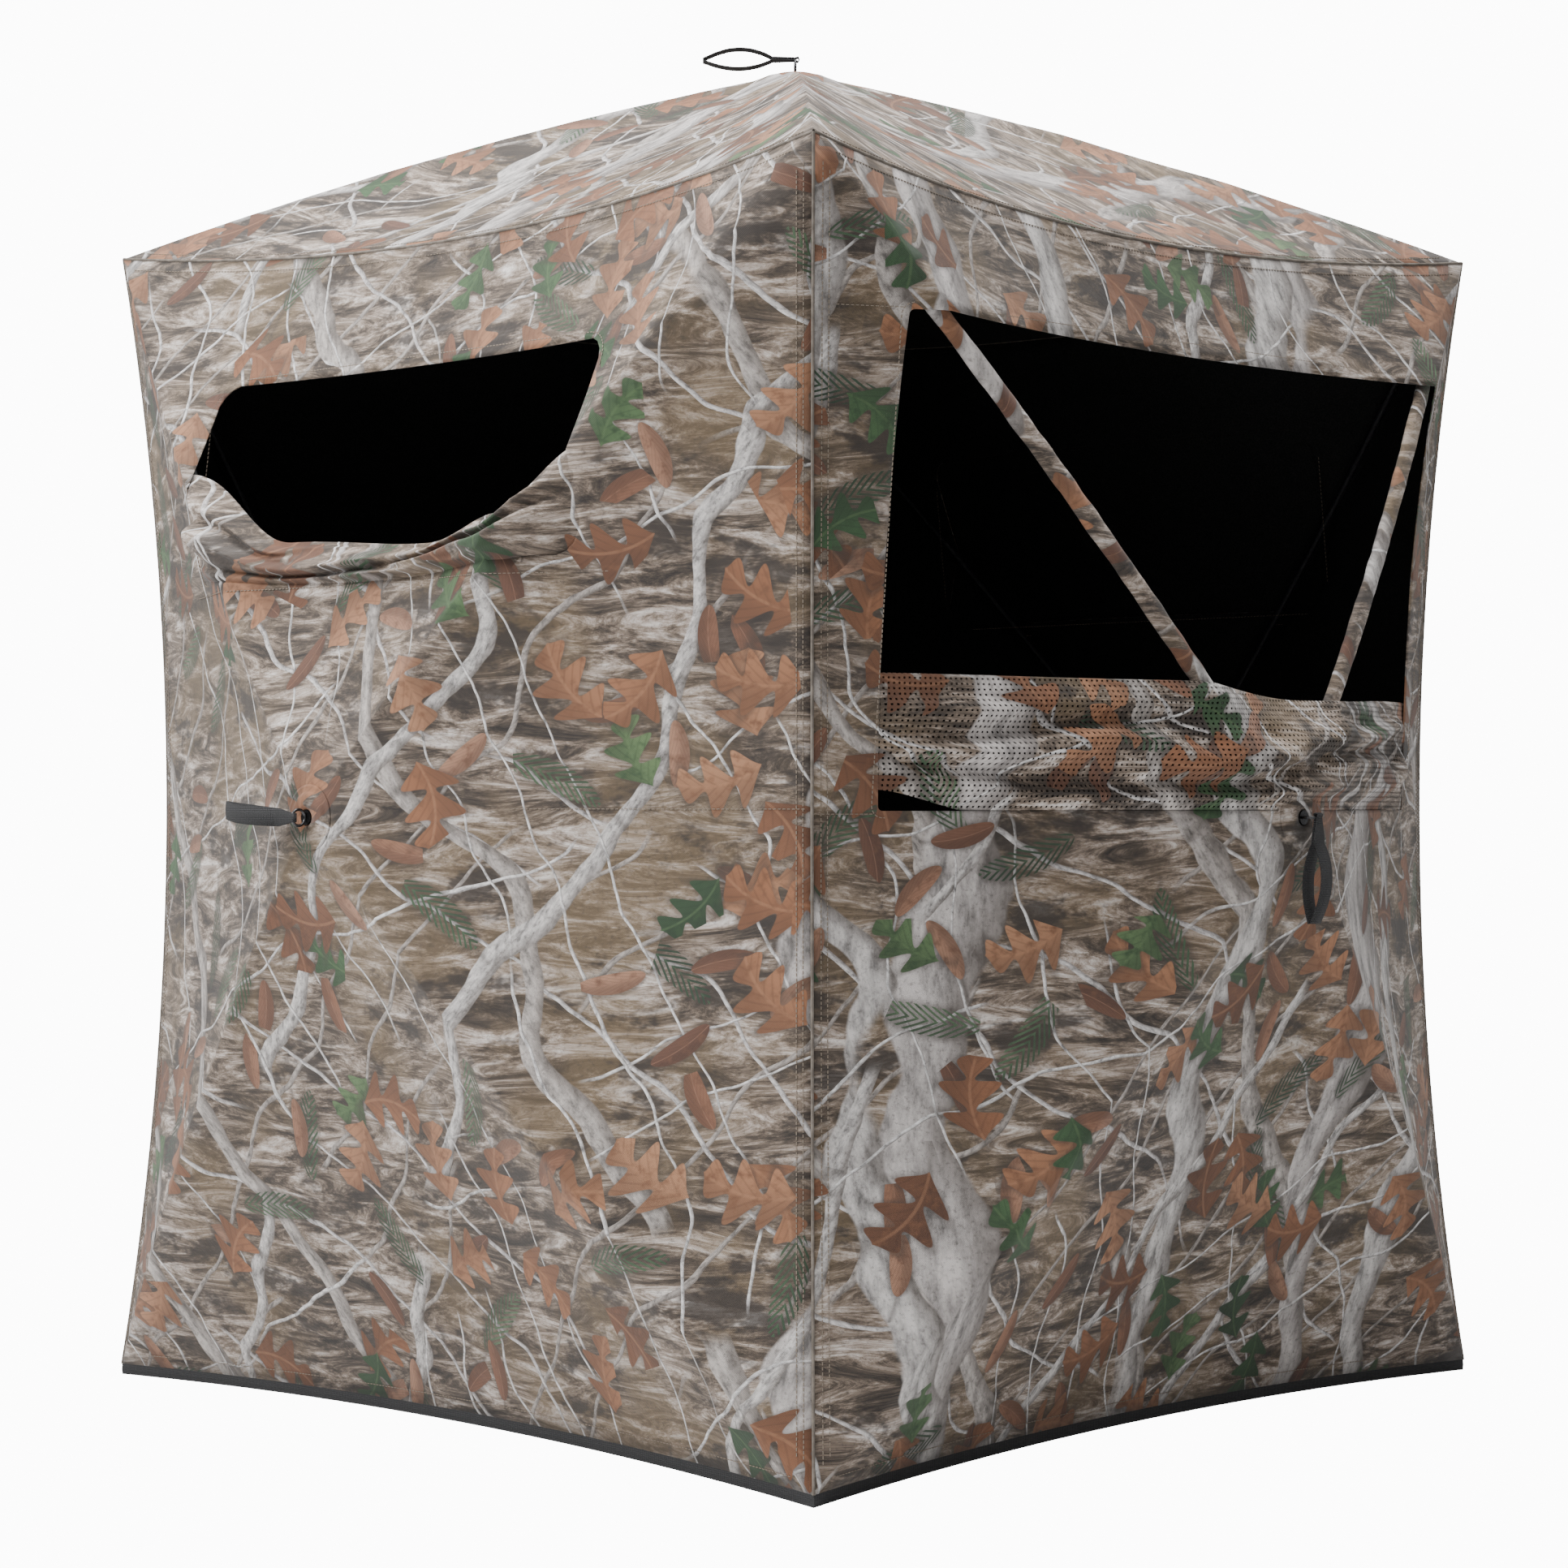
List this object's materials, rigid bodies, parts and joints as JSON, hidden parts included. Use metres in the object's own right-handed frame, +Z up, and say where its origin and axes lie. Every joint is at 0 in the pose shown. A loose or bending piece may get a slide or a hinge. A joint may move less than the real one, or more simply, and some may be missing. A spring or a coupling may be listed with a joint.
{
  "type": "pop up ground blind",
  "caption": "Square pop-up fabric shelter with hub-and-pole walls and roof, a wide front window and a large side opening.",
  "frame": {"origin": "middle of the square footprint, on the ground", "axes": "+Z up; -Y is the wall with the wide window; +X is the wall with the large opening"},
  "size_m": [1.9866, 1.9866, 2.0563],
  "materials": {
    "camo_fabric": "printed polyester with a dark coated back",
    "camo_net": "printed see-through net",
    "hem_binding": "bound edge",
    "webbing": "woven webbing",
    "zip_tape": "coil zip",
    "zip_metal": "black enamel",
    "pole_fibreglass": "pultruded fibreglass",
    "plate_plastic": "moulded",
    "hub_plastic": "moulded",
    "steel": "plated"
  },
  "bodies": {
    "root": {"front_wall": "camo_fabric", "right_wall": "camo_fabric", "back_wall": "camo_fabric", "left_wall": "camo_fabric", "roof_panel": "camo_fabric", "front_window_flap": "camo_fabric", "back_window_cover": "camo_fabric", "right_net_panel": "camo_net", "bottom_hem": "hem_binding", "corner_pockets": "webbing", "door_zip": "zip_tape"},
    "hub_front": {"hub_front": "hub_plastic", "hub_plate_front": "plate_plastic", "eye_bolt_front": "steel", "pivot_pins_front": "steel"},
    "pole_front_1": {"pole_front_1": "pole_fibreglass"},
    "pole_front_2": {"pole_front_2": "pole_fibreglass"},
    "pole_front_3": {"pole_front_3": "pole_fibreglass"},
    "pole_front_4": {"pole_front_4": "pole_fibreglass"},
    "pull_strap_front": {"pull_strap_front": "webbing"},
    "hub_right": {"hub_right": "hub_plastic", "hub_plate_right": "plate_plastic", "eye_bolt_right": "steel", "pivot_pins_right": "steel"},
    "pole_right_1": {"pole_right_1": "pole_fibreglass", "net_sleeve_1": "camo_net"},
    "pole_right_2": {"pole_right_2": "pole_fibreglass", "net_sleeve_2": "camo_net"},
    "pole_right_3": {"pole_right_3": "pole_fibreglass"},
    "pole_right_4": {"pole_right_4": "pole_fibreglass"},
    "pull_strap_right": {"pull_strap_right": "webbing"},
    "hub_back": {"hub_back": "hub_plastic", "hub_plate_back": "plate_plastic", "eye_bolt_back": "steel", "pivot_pins_back": "steel"},
    "pole_back_1": {"pole_back_1": "pole_fibreglass"},
    "pole_back_2": {"pole_back_2": "pole_fibreglass"},
    "pole_back_3": {"pole_back_3": "pole_fibreglass"},
    "pole_back_4": {"pole_back_4": "pole_fibreglass"},
    "pull_strap_back": {"pull_strap_back": "webbing"},
    "hub_left": {"hub_left": "hub_plastic", "hub_plate_left": "plate_plastic", "eye_bolt_left": "steel", "pivot_pins_left": "steel"},
    "pole_left_1": {"pole_left_1": "pole_fibreglass"},
    "pole_left_2": {"pole_left_2": "pole_fibreglass"},
    "pole_left_3": {"pole_left_3": "pole_fibreglass"},
    "pole_left_4": {"pole_left_4": "pole_fibreglass"},
    "pull_strap_left": {"pull_strap_left": "webbing"},
    "hub_roof": {"hub_roof": "hub_plastic", "hub_plate_roof": "plate_plastic", "eye_bolt_roof": "steel", "pivot_pins_roof": "steel"},
    "pole_roof_1": {"pole_roof_1": "pole_fibreglass"},
    "pole_roof_2": {"pole_roof_2": "pole_fibreglass"},
    "pole_roof_3": {"pole_roof_3": "pole_fibreglass"},
    "pole_roof_4": {"pole_roof_4": "pole_fibreglass"},
    "pull_strap_roof": {"pull_strap_roof": "webbing"},
    "door_slider": {"door_slider": "zip_metal"}
  },
  "joints": [
    {"name": "hub_front_push", "type": "slide", "parent": "root", "child": "hub_front", "axis": [0, -1, 0], "range_m": [-0.4134, 0], "deforming": ["front_wall", "front_window_flap"]},
    {"name": "pole_front_1_turn", "type": "hinge", "parent": "hub_front", "child": "pole_front_1", "pos_m": [0.01947, -0.9367, 0.89032], "axis": [0.7608, 0, -0.649], "range_deg": [0, 22.6]},
    {"name": "pole_front_2_turn", "type": "hinge", "parent": "hub_front", "child": "pole_front_2", "pos_m": [-0.01947, -0.9367, 0.89032], "axis": [0.7608, 0, 0.649], "range_deg": [0, 22.6]},
    {"name": "pole_front_3_turn", "type": "hinge", "parent": "hub_front", "child": "pole_front_3", "pos_m": [-0.01947, -0.9367, 0.84468], "axis": [-0.7608, 0, 0.649], "range_deg": [0, 22.6]},
    {"name": "pole_front_4_turn", "type": "hinge", "parent": "hub_front", "child": "pole_front_4", "pos_m": [0.01947, -0.9367, 0.84468], "axis": [-0.7608, 0, -0.649], "range_deg": [0, 22.6]},
    {"name": "pull_strap_front_swing", "type": "hinge", "parent": "hub_front", "child": "pull_strap_front", "pos_m": [0, -0.9873, 0.8675], "axis": [0, 0, 1], "range_deg": [-10, 180]},
    {"name": "hub_right_push", "type": "slide", "parent": "root", "child": "hub_right", "axis": [1, 0, 0], "range_m": [-0.4134, 0], "deforming": ["right_wall", "right_net_panel"]},
    {"name": "pole_right_1_turn", "type": "hinge", "parent": "hub_right", "child": "pole_right_1", "pos_m": [0.9367, 0.01947, 0.89032], "axis": [0, 0.7608, -0.649], "range_deg": [0, 22.6]},
    {"name": "pole_right_2_turn", "type": "hinge", "parent": "hub_right", "child": "pole_right_2", "pos_m": [0.9367, -0.01947, 0.89032], "axis": [0, 0.7608, 0.649], "range_deg": [0, 22.6]},
    {"name": "pole_right_3_turn", "type": "hinge", "parent": "hub_right", "child": "pole_right_3", "pos_m": [0.9367, -0.01947, 0.84468], "axis": [0, -0.7608, 0.649], "range_deg": [0, 22.6]},
    {"name": "pole_right_4_turn", "type": "hinge", "parent": "hub_right", "child": "pole_right_4", "pos_m": [0.9367, 0.01947, 0.84468], "axis": [0, -0.7608, -0.649], "range_deg": [0, 22.6]},
    {"name": "pull_strap_right_swing", "type": "hinge", "parent": "hub_right", "child": "pull_strap_right", "pos_m": [0.9873, 0, 0.8675], "axis": [0, -1, 0], "range_deg": [-10, 180]},
    {"name": "hub_back_push", "type": "slide", "parent": "root", "child": "hub_back", "axis": [0, 1, 0], "range_m": [-0.4134, 0], "deforming": ["back_wall", "back_window_cover"]},
    {"name": "pole_back_1_turn", "type": "hinge", "parent": "hub_back", "child": "pole_back_1", "pos_m": [-0.01947, 0.9367, 0.89032], "axis": [-0.7608, 0, -0.649], "range_deg": [0, 22.6]},
    {"name": "pole_back_2_turn", "type": "hinge", "parent": "hub_back", "child": "pole_back_2", "pos_m": [0.01947, 0.9367, 0.89032], "axis": [-0.7608, 0, 0.649], "range_deg": [0, 22.6]},
    {"name": "pole_back_3_turn", "type": "hinge", "parent": "hub_back", "child": "pole_back_3", "pos_m": [0.01947, 0.9367, 0.84468], "axis": [0.7608, 0, 0.649], "range_deg": [0, 22.6]},
    {"name": "pole_back_4_turn", "type": "hinge", "parent": "hub_back", "child": "pole_back_4", "pos_m": [-0.01947, 0.9367, 0.84468], "axis": [0.7608, 0, -0.649], "range_deg": [0, 22.6]},
    {"name": "pull_strap_back_swing", "type": "hinge", "parent": "hub_back", "child": "pull_strap_back", "pos_m": [0, 0.9873, 0.8675], "axis": [1, 0, 0], "range_deg": [-10, 180]},
    {"name": "hub_left_push", "type": "slide", "parent": "root", "child": "hub_left", "axis": [-1, 0, 0], "range_m": [-0.4134, 0], "deforming": ["left_wall", "door_zip"]},
    {"name": "pole_left_1_turn", "type": "hinge", "parent": "hub_left", "child": "pole_left_1", "pos_m": [-0.9367, -0.01947, 0.89032], "axis": [0, -0.7608, -0.649], "range_deg": [0, 22.6]},
    {"name": "pole_left_2_turn", "type": "hinge", "parent": "hub_left", "child": "pole_left_2", "pos_m": [-0.9367, 0.01947, 0.89032], "axis": [0, -0.7608, 0.649], "range_deg": [0, 22.6]},
    {"name": "pole_left_3_turn", "type": "hinge", "parent": "hub_left", "child": "pole_left_3", "pos_m": [-0.9367, 0.01947, 0.84468], "axis": [0, 0.7608, 0.649], "range_deg": [0, 22.6]},
    {"name": "pole_left_4_turn", "type": "hinge", "parent": "hub_left", "child": "pole_left_4", "pos_m": [-0.9367, -0.01947, 0.84468], "axis": [0, 0.7608, -0.649], "range_deg": [0, 22.6]},
    {"name": "pull_strap_left_swing", "type": "hinge", "parent": "hub_left", "child": "pull_strap_left", "pos_m": [-0.9873, 0, 0.8675], "axis": [0, 1, 0], "range_deg": [-10, 180]},
    {"name": "hub_roof_push", "type": "slide", "parent": "root", "child": "hub_roof", "axis": [0, 0, 1], "range_m": [-0.5494, 0], "deforming": ["roof_panel"]},
    {"name": "pole_roof_1_turn", "type": "hinge", "parent": "hub_roof", "child": "pole_roof_1", "pos_m": [0.02121, 0.02121, 1.9997], "axis": [0.7071, -0.7071, 0], "range_deg": [0, 32.55]},
    {"name": "pole_roof_2_turn", "type": "hinge", "parent": "hub_roof", "child": "pole_roof_2", "pos_m": [-0.02121, 0.02121, 1.9997], "axis": [0.7071, 0.7071, 0], "range_deg": [0, 32.55]},
    {"name": "pole_roof_3_turn", "type": "hinge", "parent": "hub_roof", "child": "pole_roof_3", "pos_m": [-0.02121, -0.02121, 1.9997], "axis": [-0.7071, 0.7071, 0], "range_deg": [0, 32.55]},
    {"name": "pole_roof_4_turn", "type": "hinge", "parent": "hub_roof", "child": "pole_roof_4", "pos_m": [0.02121, -0.02121, 1.9997], "axis": [-0.7071, -0.7071, 0], "range_deg": [0, 32.55]},
    {"name": "pull_strap_roof_swing", "type": "hinge", "parent": "hub_roof", "child": "pull_strap_roof", "pos_m": [0, 0, 2.0503], "axis": [-0.7071, 0.7071, 0], "range_deg": [0, 180]},
    {"name": "door_slider_run", "type": "slide", "parent": "root", "child": "door_slider", "axis": [-0.315, 0, 0.9491], "range_m": [0, 0.69]}
  ],
  "couplings": [
    {"joint": "pole_front_1_turn", "follows": "hub_front_push", "rad_per_m": -0.93321},
    {"joint": "pole_front_2_turn", "follows": "hub_front_push", "rad_per_m": -0.93321},
    {"joint": "pole_front_3_turn", "follows": "hub_front_push", "rad_per_m": -0.93321},
    {"joint": "pole_front_4_turn", "follows": "hub_front_push", "rad_per_m": -0.93321},
    {"joint": "pole_right_1_turn", "follows": "hub_right_push", "rad_per_m": -0.93321},
    {"joint": "pole_right_2_turn", "follows": "hub_right_push", "rad_per_m": -0.93321},
    {"joint": "pole_right_3_turn", "follows": "hub_right_push", "rad_per_m": -0.93321},
    {"joint": "pole_right_4_turn", "follows": "hub_right_push", "rad_per_m": -0.93321},
    {"joint": "pole_back_1_turn", "follows": "hub_back_push", "rad_per_m": -0.93321},
    {"joint": "pole_back_2_turn", "follows": "hub_back_push", "rad_per_m": -0.93321},
    {"joint": "pole_back_3_turn", "follows": "hub_back_push", "rad_per_m": -0.93321},
    {"joint": "pole_back_4_turn", "follows": "hub_back_push", "rad_per_m": -0.93321},
    {"joint": "pole_left_1_turn", "follows": "hub_left_push", "rad_per_m": -0.93321},
    {"joint": "pole_left_2_turn", "follows": "hub_left_push", "rad_per_m": -0.93321},
    {"joint": "pole_left_3_turn", "follows": "hub_left_push", "rad_per_m": -0.93321},
    {"joint": "pole_left_4_turn", "follows": "hub_left_push", "rad_per_m": -0.93321},
    {"joint": "pole_roof_1_turn", "follows": "hub_roof_push", "rad_per_m": -1.0181},
    {"joint": "pole_roof_2_turn", "follows": "hub_roof_push", "rad_per_m": -1.0181},
    {"joint": "pole_roof_3_turn", "follows": "hub_roof_push", "rad_per_m": -1.0181},
    {"joint": "pole_roof_4_turn", "follows": "hub_roof_push", "rad_per_m": -1.0181}
  ]
}
